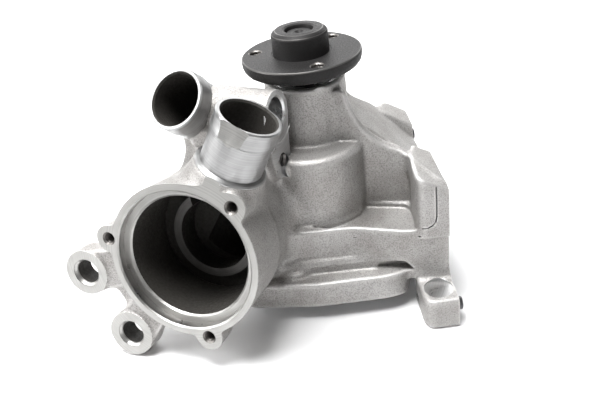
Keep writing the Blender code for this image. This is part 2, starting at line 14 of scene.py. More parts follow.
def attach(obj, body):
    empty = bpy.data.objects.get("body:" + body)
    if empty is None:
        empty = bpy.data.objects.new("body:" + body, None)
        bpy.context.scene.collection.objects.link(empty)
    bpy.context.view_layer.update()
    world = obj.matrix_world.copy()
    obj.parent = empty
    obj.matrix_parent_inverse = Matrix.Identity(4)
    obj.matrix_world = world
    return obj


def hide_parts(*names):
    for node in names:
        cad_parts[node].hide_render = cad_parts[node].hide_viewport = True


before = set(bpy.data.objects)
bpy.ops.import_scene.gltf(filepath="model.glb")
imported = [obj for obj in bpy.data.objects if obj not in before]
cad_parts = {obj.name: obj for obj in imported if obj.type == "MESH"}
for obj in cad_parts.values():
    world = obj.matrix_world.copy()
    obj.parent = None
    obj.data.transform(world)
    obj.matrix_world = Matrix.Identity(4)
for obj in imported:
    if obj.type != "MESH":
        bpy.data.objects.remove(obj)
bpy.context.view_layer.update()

MM = 0.001
STEP = 0.9                                   # cell of the distance field

# The same dimensions as the CAD part.
BLOCK_X = 61.0
FOOT_Z = -8.0
RIM_TOP = 15.0
SHELF_Z = 39.0
DRUM_TOP = 76.0
DRUM_R = 28.8
TOWER_R = 21.0
TOWER_TOP = 107.0
STAT_CENTRE = Vector((-69.9, -68.7, 49.1))
STAT_OUT = Vector((-0.373, -0.902, 0.218)).normalized()
STAT_A = STAT_OUT.cross(Vector((0, 0, 1))).normalized()
STAT_B = STAT_A.cross(STAT_OUT).normalized()
STAT_SCREW_R = 40.4                          # circle of the thermostat cover's screws
STAT_RING_DEPTH = 34.5                       # from the face to the ring round the inlet
STAT_CAVITY_R = 31.0
STAT_SEAT_R = 35.1
STAT_SCREW_ANGLES = (11.5, 133.5, 255.0)
STAT_EARS = ((58.7, -12.8), (57.0, -51.8))   # (radius, angle) of the long bolts
EAR_FACE_R = 12.9
EAR_BOLT_R = 6.1
STUB_A = (Vector((-63.6, -26.0, 114.0)), Vector((-0.44, -0.60, 0.67)).normalized())
STUB_B = (Vector((-27.9, -55.4, 112.8)), Vector((0.45, -0.10, 0.888)).normalized())
STUB_R = 15.8
STUB_BORE_R = 13.2
COLLAR = 0.7                                 # step between hose seat and collar of a stub
WAY_R = 11.5                                 # cored way from a stub to the thermostat
PAD_CENTRE = Vector((-16.5, -34.0, 102.0))
PAD_OUT = Vector((0.88, -0.47, 0.0)).normalized()
PAD_R = 12.9
PORT_R = 8.6
LUG_DROP = Vector((0, 0, -25))               # from the side port to the boss of its screw
SMALL_THREAD_R = 2.6
FLANGE_TOP = 120.0
FLANGE_R = 30.6
FLANGE_THICK = 7.4
NOSE_R = 14.4
NOSE_TOP = 132.0
SHAFT_R = 8.0
BEARING_R = 17.3
CHAMBER_R = 33.0
COVER_SEAT_R = 40.3
TAPPED_CIRCLE_R = 24.3
TAPPED_ANGLES = (164.3, 44.3, 284.3)
OUTLET = Vector((BLOCK_X, 6.0, 25.0))
BLOCK_BOLTS = ((-46.0, 50.0), (-30.0, 42.0), (-60.0, 3.0), (53.0, 1.0))
DOWELS = ((42.0, 44.0), (-69.0, 1.5))
COVER_R = 40.0
COVER_CIRCLE_R = 36.3
COVER_SCREWS = [Vector((COVER_CIRCLE_R * cos(radians(a)), COVER_CIRCLE_R * sin(radians(a)), 0))
                for a in (20, 80, 140, 200, 260, 320)]
DOWEL_R = 3.4
SEAL_R = 16.0
SEAL_WIRE_R = 1.3
SEAL_STEPS = 14
WEB_HALF = 3.0                               # half the thickness of a web


def plane_of(centre, out):
    """Place of a face with its +Z pointing into the material."""
    turn = Vector((0, 0, 1)).rotation_difference(-out).to_matrix().to_4x4()
    return Matrix.Translation(centre) @ turn


PAD_PLANE = plane_of(PAD_CENTRE, PAD_OUT)
LUG_PLANE = plane_of(PAD_CENTRE + LUG_DROP, PAD_OUT)


def on_stat(radius, angle, depth=0.0):
    """Point on the thermostat face, or depth below it, at a radius and angle."""
    turn = radians(angle)
    return (STAT_CENTRE + radius * cos(turn) * STAT_A + radius * sin(turn) * STAT_B
            - depth * STAT_OUT)


# ---------------------------------------------------------------- materials

def new_material(name, colour, roughness, metallic):
    mat = bpy.data.materials.new(name)
    mat.use_nodes = True
    shader = mat.node_tree.nodes["Principled BSDF"]
    shader.inputs["Base Color"].default_value = (*colour, 1.0)
    shader.inputs["Roughness"].default_value = roughness
    shader.inputs["Metallic"].default_value = metallic
    return mat, mat.node_tree, shader


def node(tree, kind, **values):
    made = tree.nodes.new(kind)
    for key, value in values.items():
        setattr(made, key, value)
    return made


def noise(tree, where, scale, detail=2.0, rough=0.5):
    made = node(tree, "ShaderNodeTexNoise")
    made.inputs["Scale"].default_value = scale
    made.inputs["Detail"].default_value = detail
    made.inputs["Roughness"].default_value = rough
    tree.links.new(where, made.inputs["Vector"])
    return made.outputs["Fac"]


def ramp(tree, source, *stops):
    made = node(tree, "ShaderNodeValToRGB")
    band = made.color_ramp
    while len(band.elements) < len(stops):
        band.elements.new(0.5)
    for element, (place, colour) in zip(band.elements, stops):
        element.position = place
        if not isinstance(colour, tuple):
            colour = (colour, colour, colour)
        element.color = (*colour, 1.0)
    tree.links.new(source, made.inputs["Fac"])
    return made.outputs["Color"]


def blend_colours(tree, kind, share, first, second):
    """share, first and second are sockets or constants."""
    made = node(tree, "ShaderNodeMix", data_type="RGBA", blend_type=kind)
    for socket, value in ((made.inputs["Factor"], share), (made.inputs[6], first),
                          (made.inputs[7], second)):
        if isinstance(value, bpy.types.NodeSocket):
            tree.links.new(value, socket)
        else:
            socket.default_value = value if isinstance(value, float) else (*value, 1.0)
    return made.outputs[2]


def math_node(tree, operation, first, second=None):
    made = node(tree, "ShaderNodeMath", operation=operation)
    for socket, value in zip(made.inputs, (first, second)):
        if isinstance(value, bpy.types.NodeSocket):
            tree.links.new(value, socket)
        elif value is not None:
            socket.default_value = value
    return made.outputs[0]


def bump(tree, shader, height, strength, distance):
    made = node(tree, "ShaderNodeBump")
    made.inputs["Strength"].default_value = strength
    made.inputs["Distance"].default_value = distance
    tree.links.new(height, made.inputs["Height"])
    tree.links.new(made.outputs["Normal"], shader.inputs["Normal"])


def object_place(tree):
    return node(tree, "ShaderNodeTexCoord").outputs["Object"]


def cast_aluminium(name="cast_aluminium", tone=1.0):
    """Shot-blasted casting: fine pitted grain, broad tone changes, and convex edges lightened,
    partly as wear and partly as a painted highlight.
    """
    mat, tree, shader = new_material(name, (0.6, 0.59, 0.58), 0.5, 0.6)
    where = object_place(tree)
    fine = noise(tree, where, 1500, 3.0, 0.62)
    pits = noise(tree, where, 700, 2.0, 0.5)
    broad = noise(tree, where, 45, 4.0, 0.55)
    colour = ramp(tree, broad, (0.35, (0.37 * tone, 0.355 * tone, 0.34 * tone)),
                  (0.7, (0.50 * tone, 0.49 * tone, 0.48 * tone)))
    speck = ramp(tree, fine, (0.34, 0.52), (0.5, 0.86), (0.66, 1.0))
    colour = blend_colours(tree, "MULTIPLY", 0.85, colour, speck)
    # Convex edges lightened by pointiness: partly edge wear, partly a painted highlight.
    edge = ramp(tree, node(tree, "ShaderNodeNewGeometry").outputs["Pointiness"],
                (0.505, 0.0), (0.58, 1.0))
    colour = blend_colours(tree, "MIX", edge, colour, (0.80, 0.79, 0.78))
    tree.links.new(colour, shader.inputs["Base Color"])
    rough = ramp(tree, fine, (0.35, 0.62), (0.65, 0.42))
    tree.links.new(rough, shader.inputs["Roughness"])
    height = math_node(tree, "ADD", math_node(tree, "MULTIPLY", fine, 0.6),
                       math_node(tree, "MULTIPLY", pits, 0.8))
    bump(tree, shader, height, 0.75, 0.00035)
    return mat


def turned_metal(name, centre, axis, colour=(0.60, 0.60, 0.60), roughness=0.28, pitch=0.35):
    """Machined aluminium or steel with tool marks in rings about an axis."""
    mat, tree, shader = new_material(name, colour, roughness, 1.0)
    where = object_place(tree)
    offset = node(tree, "ShaderNodeVectorMath", operation="SUBTRACT")
    tree.links.new(where, offset.inputs[0])
    offset.inputs[1].default_value = Vector(centre) * MM
    crossed = node(tree, "ShaderNodeVectorMath", operation="CROSS_PRODUCT")
    tree.links.new(offset.outputs[0], crossed.inputs[0])
    crossed.inputs[1].default_value = Vector(axis).normalized()
    radius = node(tree, "ShaderNodeVectorMath", operation="LENGTH")
    tree.links.new(crossed.outputs[0], radius.inputs[0])
    along = node(tree, "ShaderNodeVectorMath", operation="DOT_PRODUCT")
    tree.links.new(offset.outputs[0], along.inputs[0])
    along.inputs[1].default_value = Vector(axis).normalized()
    both = math_node(tree, "ADD", radius.outputs["Value"], along.outputs["Value"])
    wobble = noise(tree, where, 160, 2.0)
    run = math_node(tree, "ADD", math_node(tree, "MULTIPLY", both, 2 * pi / (pitch * MM)),
                    math_node(tree, "MULTIPLY", wobble, 3.0))
    marks = math_node(tree, "SINE", run)
    band = node(tree, "ShaderNodeCombineXYZ")
    tree.links.new(both, band.inputs[0])
    bands = noise(tree, band.outputs[0], 1400, 2.0)
    shade = ramp(tree, bands, (0.35, tuple(0.80 * c for c in colour)), (0.65, colour))
    tree.links.new(shade, shader.inputs["Base Color"])
    rough = ramp(tree, wobble, (0.3, roughness * 0.8), (0.7, roughness * 1.35))
    tree.links.new(rough, shader.inputs["Roughness"])
    bump(tree, shader, marks, 0.18, 0.00005)
    return mat


def plain_metal(name, colour, roughness, metallic=1.0, grain=900, depth=0.0001, strength=0.3):
    """Even finish with a fine grain; also rubber, ceramic and plastic at metallic 0, and the
    near-black painted shade inside the casting.
    """
    mat, tree, shader = new_material(name, colour, roughness, metallic)
    where = object_place(tree)
    fine = noise(tree, where, grain, 3.0, 0.6)
    broad = noise(tree, where, 60, 3.0, 0.5)
    shade = ramp(tree, broad, (0.3, tuple(0.78 * c for c in colour)), (0.7, colour))
    tree.links.new(shade, shader.inputs["Base Color"])
    rough = ramp(tree, fine, (0.3, min(1.0, roughness * 1.3)), (0.7, roughness * 0.8))
    tree.links.new(rough, shader.inputs["Roughness"])
    bump(tree, shader, fine, strength, depth)
    return mat


CAST = cast_aluminium()
# Casting colour darkened to 0.3 for the scratched lines: painted shade in the grooves.
GROOVE_PAINTED_SHADE = cast_aluminium("cast_groove_painted_shade", 0.3)
# Dark colour for the walls of threaded and plain holes: painted shade inside the holes.
HOLE_PAINTED_SHADE = plain_metal("thread_painted_shade", (0.20, 0.19, 0.18), 0.4, 0.9, 900, 0.00005, 0.3)
# Near-black colour on the walls of bores, cavities and cored ways: painted shade inside the
# casting.
INSIDE_PAINTED_SHADE = plain_metal("cast_inside_painted_shade", (0.030, 0.027, 0.023), 0.7, 0.0, 700, 0.0003, 0.5)
FACED = turned_metal("stat_faced", STAT_CENTRE, STAT_OUT, (0.46, 0.455, 0.44), 0.36)
BORED = turned_metal("bored", STAT_CENTRE, STAT_OUT, (0.42, 0.41, 0.40), 0.32)
# Machined aluminium darkened for the ring deep in the thermostat bore: painted shade.
RING_FACE_PAINTED_SHADE = turned_metal("inner_ring_painted_shade", STAT_CENTRE, STAT_OUT, (0.16, 0.155, 0.15), 0.45)
BLOCK_FACE = turned_metal("block_faced", (BLOCK_X, -10, 300), (1, 0, 0), pitch=0.9)
SHAFT_CUT = turned_metal("shaft_bored", (0, 0, 0), (0, 0, 1))
STUB_CUT = [turned_metal(f"stub_{name}_turned", point, out, (0.40, 0.40, 0.40), 0.38, 0.5)
            for name, (point, out) in (("a", STUB_A), ("b", STUB_B))]
PAD_CUT = turned_metal("pad_faced", PAD_CENTRE, PAD_OUT, (0.66, 0.66, 0.66), 0.3)
DULL = 0.3                                   # specular level of the oxide layer
BLACK = plain_metal("black_oxide", (0.022, 0.021, 0.021), 0.55, 0.3, 1200, 0.00006, 0.35)
BLACK.node_tree.nodes["Principled BSDF"].inputs["Specular IOR Level"].default_value = DULL
# Lighter oxide for the flange's chamfers: partly wear, partly a painted highlight.
BLACK_WORN_AND_HIGHLIGHT = plain_metal("black_oxide_worn_and_highlight", (0.10, 0.097, 0.094), 0.4, 0.7, 1200, 0.00004, 0.3)
GROUND = turned_metal("ground_steel", (0, 0, 0), (0, 0, 1), (0.55, 0.55, 0.56), 0.22, 0.2)
ZINC = plain_metal("zinc_plate", (0.66, 0.67, 0.69), 0.3)
# Dark steel for the dowel pins, and painted shade on the walls of the screws' hexagon sockets.
DARK_STEEL_AND_SOCKET_SHADE = plain_metal("dark_steel", (0.11, 0.11, 0.115), 0.36, 0.9)
IRON = plain_metal("impeller_iron", (0.22, 0.21, 0.21), 0.5, 0.8, 500, 0.0003, 0.5)
RUBBER = plain_metal("rubber", (0.018, 0.018, 0.018), 0.6, 0.0, 1500, 0.00005, 0.3)
FIBRE = plain_metal("gasket_fibre", (0.09, 0.10, 0.10), 0.85, 0.0, 2500, 0.0001, 0.6)
CARBON = plain_metal("carbon", (0.045, 0.045, 0.048), 0.42, 0.0)
CERAMIC = plain_metal("ceramic", (0.84, 0.83, 0.78), 0.22, 0.0, 400, 0.00002, 0.2)
NYLON = plain_metal("nylon", (0.45, 0.29, 0.13), 0.48, 0.0)


# ---------------------------------------------------------------- solid meshes

def link(name, mesh, *materials):
    obj = bpy.data.objects.new(name, mesh)
    bpy.context.scene.collection.objects.link(obj)
    for mat in materials:
        mesh.materials.append(mat)
    return obj


def from_bmesh(name, bm, *materials):
    bmesh.ops.recalc_face_normals(bm, faces=bm.faces)
    mesh = bpy.data.meshes.new(name)
    bm.to_mesh(mesh)
    bm.free()
    return link(name, mesh, *materials)


def toward(origin, axis):
    """Place at origin with +Z along axis, in metres."""
    turn = Vector((0, 0, 1)).rotation_difference(Vector(axis)).to_matrix().to_4x4()
    return Matrix.Translation(Vector(origin) * MM) @ turn


def turned(name, profile, segments, place=None, materials=(), bands=None):
    """Solid of revolution about +Z, where bands has a material slot for each profile edge."""
    bm = bmesh.new()
    rings = []
    for radius, height in profile:
        if radius < 1e-6:
            rings.append([bm.verts.new((0, 0, height * MM))] * segments)
            continue
        rings.append([bm.verts.new((radius * MM * cos(2 * pi * i / segments),
                                    radius * MM * sin(2 * pi * i / segments),
                                    height * MM)) for i in range(segments)])
    for index, (a, b) in enumerate(zip(rings, rings[1:] + rings[:1])):
        for i in range(segments):
            j = (i + 1) % segments
            corners = list(dict.fromkeys((a[i], a[j], b[j], b[i])))
            if len(corners) > 2:
                face = bm.faces.new(corners)
                if bands:
                    face.material_index = bands[index]
    obj = from_bmesh(name, bm, *materials)
    if place is not None:
        obj.data.transform(place)
    return obj


def rod(name, start, end, r0, r1=None, segments=48, materials=()):
    start, end = Vector(start), Vector(end)
    r1 = r0 if r1 is None else r1
    length = (end - start).length
    return turned(name, ((0, 0), (r0, 0), (r1, length), (0, length)), segments,
                  toward(start, end - start), materials)


def block(name, low, high, materials=()):
    bm = bmesh.new()
    bmesh.ops.create_cube(bm, size=1.0)
    low, high = Vector(low), Vector(high)
    for vert in bm.verts:
        vert.co = Vector([(low[k] + (vert.co[k] + 0.5) * (high[k] - low[k])) * MM
                          for k in range(3)])
    return from_bmesh(name, bm, *materials)


def hull(name, points, materials=()):
    """Convex solid round points, for a cutter."""
    bm = bmesh.new()
    for point in points:
        bm.verts.new(Vector(point) * MM)
    made = bmesh.ops.convex_hull(bm, input=bm.verts)
    spare = [v for v in made["geom_interior"] + made["geom_unused"]
             if isinstance(v, bmesh.types.BMVert)]
    bmesh.ops.delete(bm, geom=list(set(spare)), context="VERTS")
    return from_bmesh(name, bm, *materials)


def groove(points, radius, materials):
    """Cutters for a line scratched through points: a chain of round bars."""
    made = []
    for start, end in zip(points, points[1:]):
        start, end = Vector(start), Vector(end)
        over = (end - start).normalized() * radius * 0.4
        made.append(rod("groove", start - over, end + over, radius, radius, 10, materials))
    return made


def combine(target, tools, operation):
    """Boolean the tools into the target, keeping each one's materials."""
    for tool in tools:
        step = target.modifiers.new("combine", "BOOLEAN")
        step.operation = operation
        step.object = tool
        step.solver = "MANIFOLD"
        step.material_mode = "TRANSFER"
    depsgraph = bpy.context.evaluated_depsgraph_get()
    mesh = bpy.data.meshes.new_from_object(target.evaluated_get(depsgraph))
    target.modifiers.clear()
    target.data = mesh
    for tool in tools:
        bpy.data.objects.remove(tool, do_unlink=True)
    return target


def smooth(obj, angle=32):
    obj.data.shade_smooth()
    obj.data.set_sharp_from_angle(angle=radians(angle))
    return obj


# An edge of the casting steeper than this many degrees is shaded sharp.
CAST_ANGLE = 50
CUT_ANGLE = 14
BORDER_ANGLE = 8


def smooth_casting(obj):
    """Soft shading on cast skin, and crisp edges round each machined surface."""
    obj.data.shade_smooth()
    bm = bmesh.new()
    bm.from_mesh(obj.data)
    for edge in bm.edges:
        kinds = [face.material_index for face in edge.link_faces]
        if kinds[0] != kinds[-1]:
            limit = BORDER_ANGLE
        else:
            limit = CAST_ANGLE if kinds[0] == 0 else CUT_ANGLE
        edge.smooth = edge.calc_face_angle(0.0) < radians(limit)
    bm.to_mesh(obj.data)
    bm.free()
    return obj


# ---------------------------------------------------------------- distance field

LOW = (-136.8, -88.2, -10.8)
HIGH = (68.0, 67.0, 119.0)
AXES = [np.arange(lo, hi, STEP, dtype=np.float32) for lo, hi in zip(LOW, HIGH)]
FIELD = np.full([len(axis) for axis in AXES], 12.0, np.float32)


def soft_min(a, b, k):
    """Union of two fields with a fillet of about k."""
    share = np.clip(0.5 + 0.5 * (b - a) / k, 0, 1)
    return b + (a - b) * share - k * share * (1 - share)


def rounded(side, cap, edge):
    """Field where side and cap meet in an edge of that radius."""
    a, b = side + edge, cap + edge
    return (np.minimum(np.maximum(a, b), 0)
            + np.sqrt(np.maximum(a, 0) ** 2 + np.maximum(b, 0) ** 2) - edge)


def window(low, high, pad):
    """Part of the field within pad of a box, with its coordinates."""
    cuts, grids = [], []
    for k, axis in enumerate(AXES):
        first = max(0, int((low[k] - pad - axis[0]) / STEP))
        last = min(len(axis), int((high[k] + pad - axis[0]) / STEP) + 2)
        cuts.append(slice(first, max(first, last)))
        shape = [1, 1, 1]
        shape[k] = -1
        grids.append(axis[cuts[-1]].reshape(shape))
    return tuple(cuts), grids


def add(shape, blend=4.0):
    low, high, distance = shape
    cut, grids = window(low, high, blend + 2)
    FIELD[cut] = soft_min(FIELD[cut], distance(*grids), blend)


def carve(shape, blend=1.5):
    low, high, distance = shape
    cut, grids = window(low, high, blend + 2)
    FIELD[cut] = -soft_min(-FIELD[cut], distance(*grids), blend)


def bar(start, end, r0, r1=None, edge=1.5):
    """Round bar or cone with rounded rims."""
    p, q = np.array(start, float), np.array(end, float)
    r1 = r0 if r1 is None else r1
    length = float(np.linalg.norm(q - p))
    u = (q - p) / length
    slope = (r1 - r0) / length
    lean = 1 / np.sqrt(1 + slope ** 2)
    edge = min(edge, length / 2.01, min(r0, r1))

    def distance(x, y, z):
        t = (x - p[0]) * u[0] + (y - p[1]) * u[1] + (z - p[2]) * u[2]
        square = (x - p[0]) ** 2 + (y - p[1]) ** 2 + (z - p[2]) ** 2
        side = (np.sqrt(np.maximum(square - t * t, 0)) - r0 - slope * t) * lean
        return rounded(side, np.abs(t - length / 2) - length / 2, edge)

    big = max(r0, r1)
    return np.minimum(p, q) - big, np.maximum(p, q) + big, distance


CORNER_POINTS = 5


def soften(points, radius):
    """Round the corners of an outline with short curves."""
    made = []
    for i, point in enumerate(points):
        here = np.array(point, float)
        before = np.array(points[i - 1], float)
        after = np.array(points[(i + 1) % len(points)], float)
        reach = [min(radius, 0.45 * np.linalg.norm(other - here)) for other in (before, after)]
        a = here + (before - here) / np.linalg.norm(before - here) * reach[0]
        b = here + (after - here) / np.linalg.norm(after - here) * reach[1]
        for step in range(CORNER_POINTS):
            s = step / (CORNER_POINTS - 1)
            made.append(tuple((1 - s) ** 2 * a + 2 * s * (1 - s) * here + s * s * b))
    return made


def arc(centre, radius, first, last, count):
    return [(centre[0] + radius * cos(radians(first + (last - first) * i / (count - 1))),
             centre[1] + radius * sin(radians(first + (last - first) * i / (count - 1))))
            for i in range(count)]


def slab(outline, w0, w1, edge=1.5, frame3=None):
    """Plate over an outline, with rounded edges, where frame3 is (origin, u, v, w)."""
    origin, u, v, w = frame3 or ((0, 0, 0), (1, 0, 0), (0, 1, 0), (0, 0, 1))
    corners = np.array([np.array(origin) + a * np.array(u) + b * np.array(v) + c * np.array(w)
                        for a, b in outline for c in (w0, w1)])

    def along(x, y, z, axis):
        total = 0
        for grid, start, part in zip((x, y, z), origin, axis):
            if abs(part) > 1e-9:
                total = total + (grid - start) * part
        return total

    def distance(x, y, z):
        a, b, c = (along(x, y, z, axis) for axis in (u, v, w))
        best, inside = None, False
        for (ax, ay), (bx, by) in zip(outline, outline[1:] + outline[:1]):
            ex, ey = bx - ax, by - ay
            share = np.clip(((a - ax) * ex + (b - ay) * ey) / (ex * ex + ey * ey + 1e-9), 0, 1)
            gap = (a - ax - ex * share) ** 2 + (b - ay - ey * share) ** 2
            best = gap if best is None else np.minimum(best, gap)
            rise = ey if abs(ey) > 1e-9 else 1e-9
            inside = inside ^ (((ay > b) != (by > b)) & (a < ex * (b - ay) / rise + ax))
        side = np.where(inside, -1, 1) * np.sqrt(best)
        return rounded(side, np.abs(c - (w0 + w1) / 2) - (w1 - w0) / 2, edge)

    return corners.min(0), corners.max(0), distance


def wedge(points, edge=2.5):
    """Convex solid around points, with rounded edges."""
    bm = bmesh.new()
    for point in points:
        bm.verts.new(point)
    bmesh.ops.convex_hull(bm, input=bm.verts)
    bm.normal_update()
    middle = Vector(np.mean([list(p) for p in points], 0))
    planes = []
    for face in bm.faces:
        normal = face.normal.copy()
        if normal.length < 0.5:
            continue
        offset = normal.dot(face.verts[0].co)
        if normal.dot(middle) > offset:
            normal, offset = -normal, -offset
        if all((normal - n).length > 0.03 or abs(offset - o) > 0.3 for n, o in planes):
            planes.append((normal, offset))
    bm.free()
    spots = np.array([list(p) for p in points])

    def distance(x, y, z):
        total = None
        for normal, offset in planes:
            d = x * normal.x + y * normal.y + z * normal.z - offset
            total = d if total is None else -soft_min(-total, -d, edge)
        return total

    return spots.min(0), spots.max(0), distance


def net():
    """Mesh of the field's zero surface, or the cells where two sheets of it touch."""
    value = FIELD
    inside = value < 0
    corners = [(i, j, k) for i in (0, 1) for j in (0, 1) for k in (0, 1)]
    size = [n - 1 for n in value.shape]
    view = [inside[i:i + size[0], j:j + size[1], k:k + size[2]] for i, j, k in corners]
    some = np.logical_or.reduce(view)
    every = np.logical_and.reduce(view)
    cells = np.argwhere(some & ~every)
    number = np.full(size, -1, np.int32)
    number[tuple(cells.T)] = np.arange(len(cells))
    held = np.stack([value[cells[:, 0] + i, cells[:, 1] + j, cells[:, 2] + k]
                     for i, j, k in corners], 1)
    total = np.zeros((len(cells), 3))
    count = np.zeros(len(cells))
    for a, ca in enumerate(corners):
        for b, cb in enumerate(corners):
            if a < b and sum(abs(p - q) for p, q in zip(ca, cb)) == 1:
                split = (held[:, a] < 0) != (held[:, b] < 0)
                share = held[:, a] / np.where(split, held[:, a] - held[:, b], 1)
                spot = np.array(ca) + share[:, None] * (np.array(cb) - np.array(ca))
                total[split] += spot[split]
                count[split] += 1
    spots = (cells + total / count[:, None]) * STEP + np.array([axis[0] for axis in AXES])
    faces = []
    for axis in range(3):
        b, c = (axis + 1) % 3, (axis + 2) % 3
        start = [slice(1, -1)] * 3
        start[axis] = slice(0, -1)
        after = list(start)
        after[axis] = slice(1, None)
        here, there = inside[tuple(start)], inside[tuple(after)]
        found = np.argwhere(here != there)
        base = found.copy()
        base[:, b] += 1
        base[:, c] += 1
        quad = []
        for db, dc in ((-1, -1), (0, -1), (0, 0), (-1, 0)):
            cell = base.copy()
            cell[:, b] += db
            cell[:, c] += dc
            quad.append(number[tuple(cell.T)])
        quad = np.stack(quad, 1)
        flip = ~here[tuple(found.T)]
        quad[flip] = quad[flip][:, ::-1]
        faces.append(quad)
    faces = np.concatenate(faces)
    ends = np.sort(np.stack([faces, np.roll(faces, -1, 1)], -1).reshape(-1, 2), 1)
    keys, shared = np.unique(ends[:, 0].astype(np.int64) * len(spots) + ends[:, 1],
                             return_counts=True)
    if (shared != 2).any():
        bad = keys[shared != 2]
        return None, cells[np.unique(np.concatenate([bad // len(spots), bad % len(spots)]))]
    mesh = bpy.data.meshes.new("casting")
    mesh.vertices.add(len(spots))
    mesh.vertices.foreach_set("co", (spots * MM).ravel())
    mesh.loops.add(faces.size)
    mesh.loops.foreach_set("vertex_index", faces.ravel())
    mesh.polygons.add(len(faces))
    mesh.polygons.foreach_set("loop_start", np.arange(0, faces.size, 4))
    mesh.update(calc_edges=True)
    mesh.validate()
    return mesh, None


def pump_body():
    """Rim, wall, drum and tower round the shaft, and the roof towards the block."""
    rim = [(-46, -50), (-8, -56.8), (30, -57.2), (40, -54.5), (43, -42), (57, -40), (57, 40),
           (40, 46)] + arc((0, 0), 46, 75, 195, 14)
    add(slab(soften(rim, 6), 0, RIM_TOP, 1.6), 1)
    mid = [(-44, -42), (-12, -43.2), (14, -44.4), (26, -49), (40, -54.4), (63, -55.6), (63, 48),
           (40, 44)] + arc((0, 0), 40, 80, 190, 14)
    add(slab(soften(mid, 5), RIM_TOP - 6, SHELF_Z, 1.2), 2.2)
    # rounded shoulder along the lower part of the wall
    add(slab(soften([(-44, -44), (-12, -46.4), (16, -47.6), (30, -48.0), (34, -40), (-40, -30)], 8),
             RIM_TOP - 4, 22.5, 3.6), 2.0)
    drum = arc((-1, -9), DRUM_R, 180, 360, 30) + arc((0, 0), DRUM_R, 0, 180, 30)
    add(slab(drum, SHELF_Z - 8, DRUM_TOP, 3.8), 2.6)
    add(bar((0, 0, SHELF_Z), (0, 0, TOWER_TOP), TOWER_R + 1, TOWER_R, 1.2), 3)
    add(wedge([(10, -15, 30), (44, -19, 30), (63, -19, 30), (63, 48, 30), (40, 46, 30),
               (6, 26, 30), (16, -12, 86), (16, 14, 90), (27, -14, 82), (30, 30, 80),
               (63, -19, 47), (63, 36, 47), (44, 44, 64), (44, -19, 69)], 3), 6)


def webs():
    """Two ribs from the tower down to the roof."""
    web = [(12, 34), (55, 34), (55, 63.5), (49, 67), (44, 70), (38, 72.6), (31, 77.6), (25, 85),
           (21, 94), (19, 104), (12, 104)]
    turn = radians(-14)
    add(slab(soften(web, 4), -WEB_HALF, WEB_HALF, 1.0,
             ((0, -12, 0), (cos(turn), sin(turn), 0), (0, 0, 1), (sin(turn), -cos(turn), 0))), 1.6)
    web = [(10, 60), (46, 60), (46, 68), (33, 77), (27, 86), (22, 97), (18, 104), (10, 104)]
    turn = radians(38)
    add(slab(soften(web, 4), -WEB_HALF, WEB_HALF, 1.4,
             ((0, 10, 0), (cos(turn), sin(turn), 0), (0, 0, 1), (sin(turn), -cos(turn), 0))), 4)


def block_side():
    """Ears and feet on the block face, and the boss of the rim."""
    add(wedge([(x, y, z) for x, y in ((45, -53.5), (47.5, -56.8), (63, -56.8), (63, -14),
                                      (51, -14), (46.5, -32))
               for z in (34, 71 - 0.55 * (x - 43.5))], 2.0), 2.0)
    add(wedge([(x, y, top - drop) for drop in (0, 11) for x, y, top in
               ((40, -17, 70.5), (49, -26, 65), (53, -40, 65.5), (58, -50, 64), (63, -52, 60),
                (63, -19, 50), (40, -6, 66))], 2.0), 3.0)
    add(wedge([(x, y, z) for x, y in ((44, 30), (63, 30), (63, 53), (49, 53), (44, 48))
               for z in (30, 66 - 0.6 * (x - 44))], 2.5), 4)
    add(wedge([(x, y, z) for x, y in ((44, -72), (47, -76), (63, -76), (63, -50), (44, -50))
               for z in (FOOT_Z, 9.5)], 2.2), 2)
    add(wedge([(44, -58, 9), (63, -60, 9), (63, -50, 9), (44, -50, 9), (46, -54, 14),
               (63, -56, 14), (63, -50, 14), (46, -50, 14)], 1.5), 2)
    add(wedge([(x, y, z) for x, y in ((44, 38), (63, 38), (63, 62), (47, 62), (44, 58))
               for z in (FOOT_Z, 10)], 2.5), 3)
    add(wedge([(44, 38, 8), (63, 38, 8), (63, 57, 8), (44, 52, 8), (46, 38, 20), (63, 38, 20),
               (63, 48, 20), (46, 44, 20)], 2), 4)
    add(slab([(46, -50), (63, -50), (63, 46), (46, 46)], 4, RIM_TOP + 2, 1.5), 2)
    add(bar((-18, -42, 0), (-18, -42, 17.5), 8.0, 7.2, 1.4), 3)


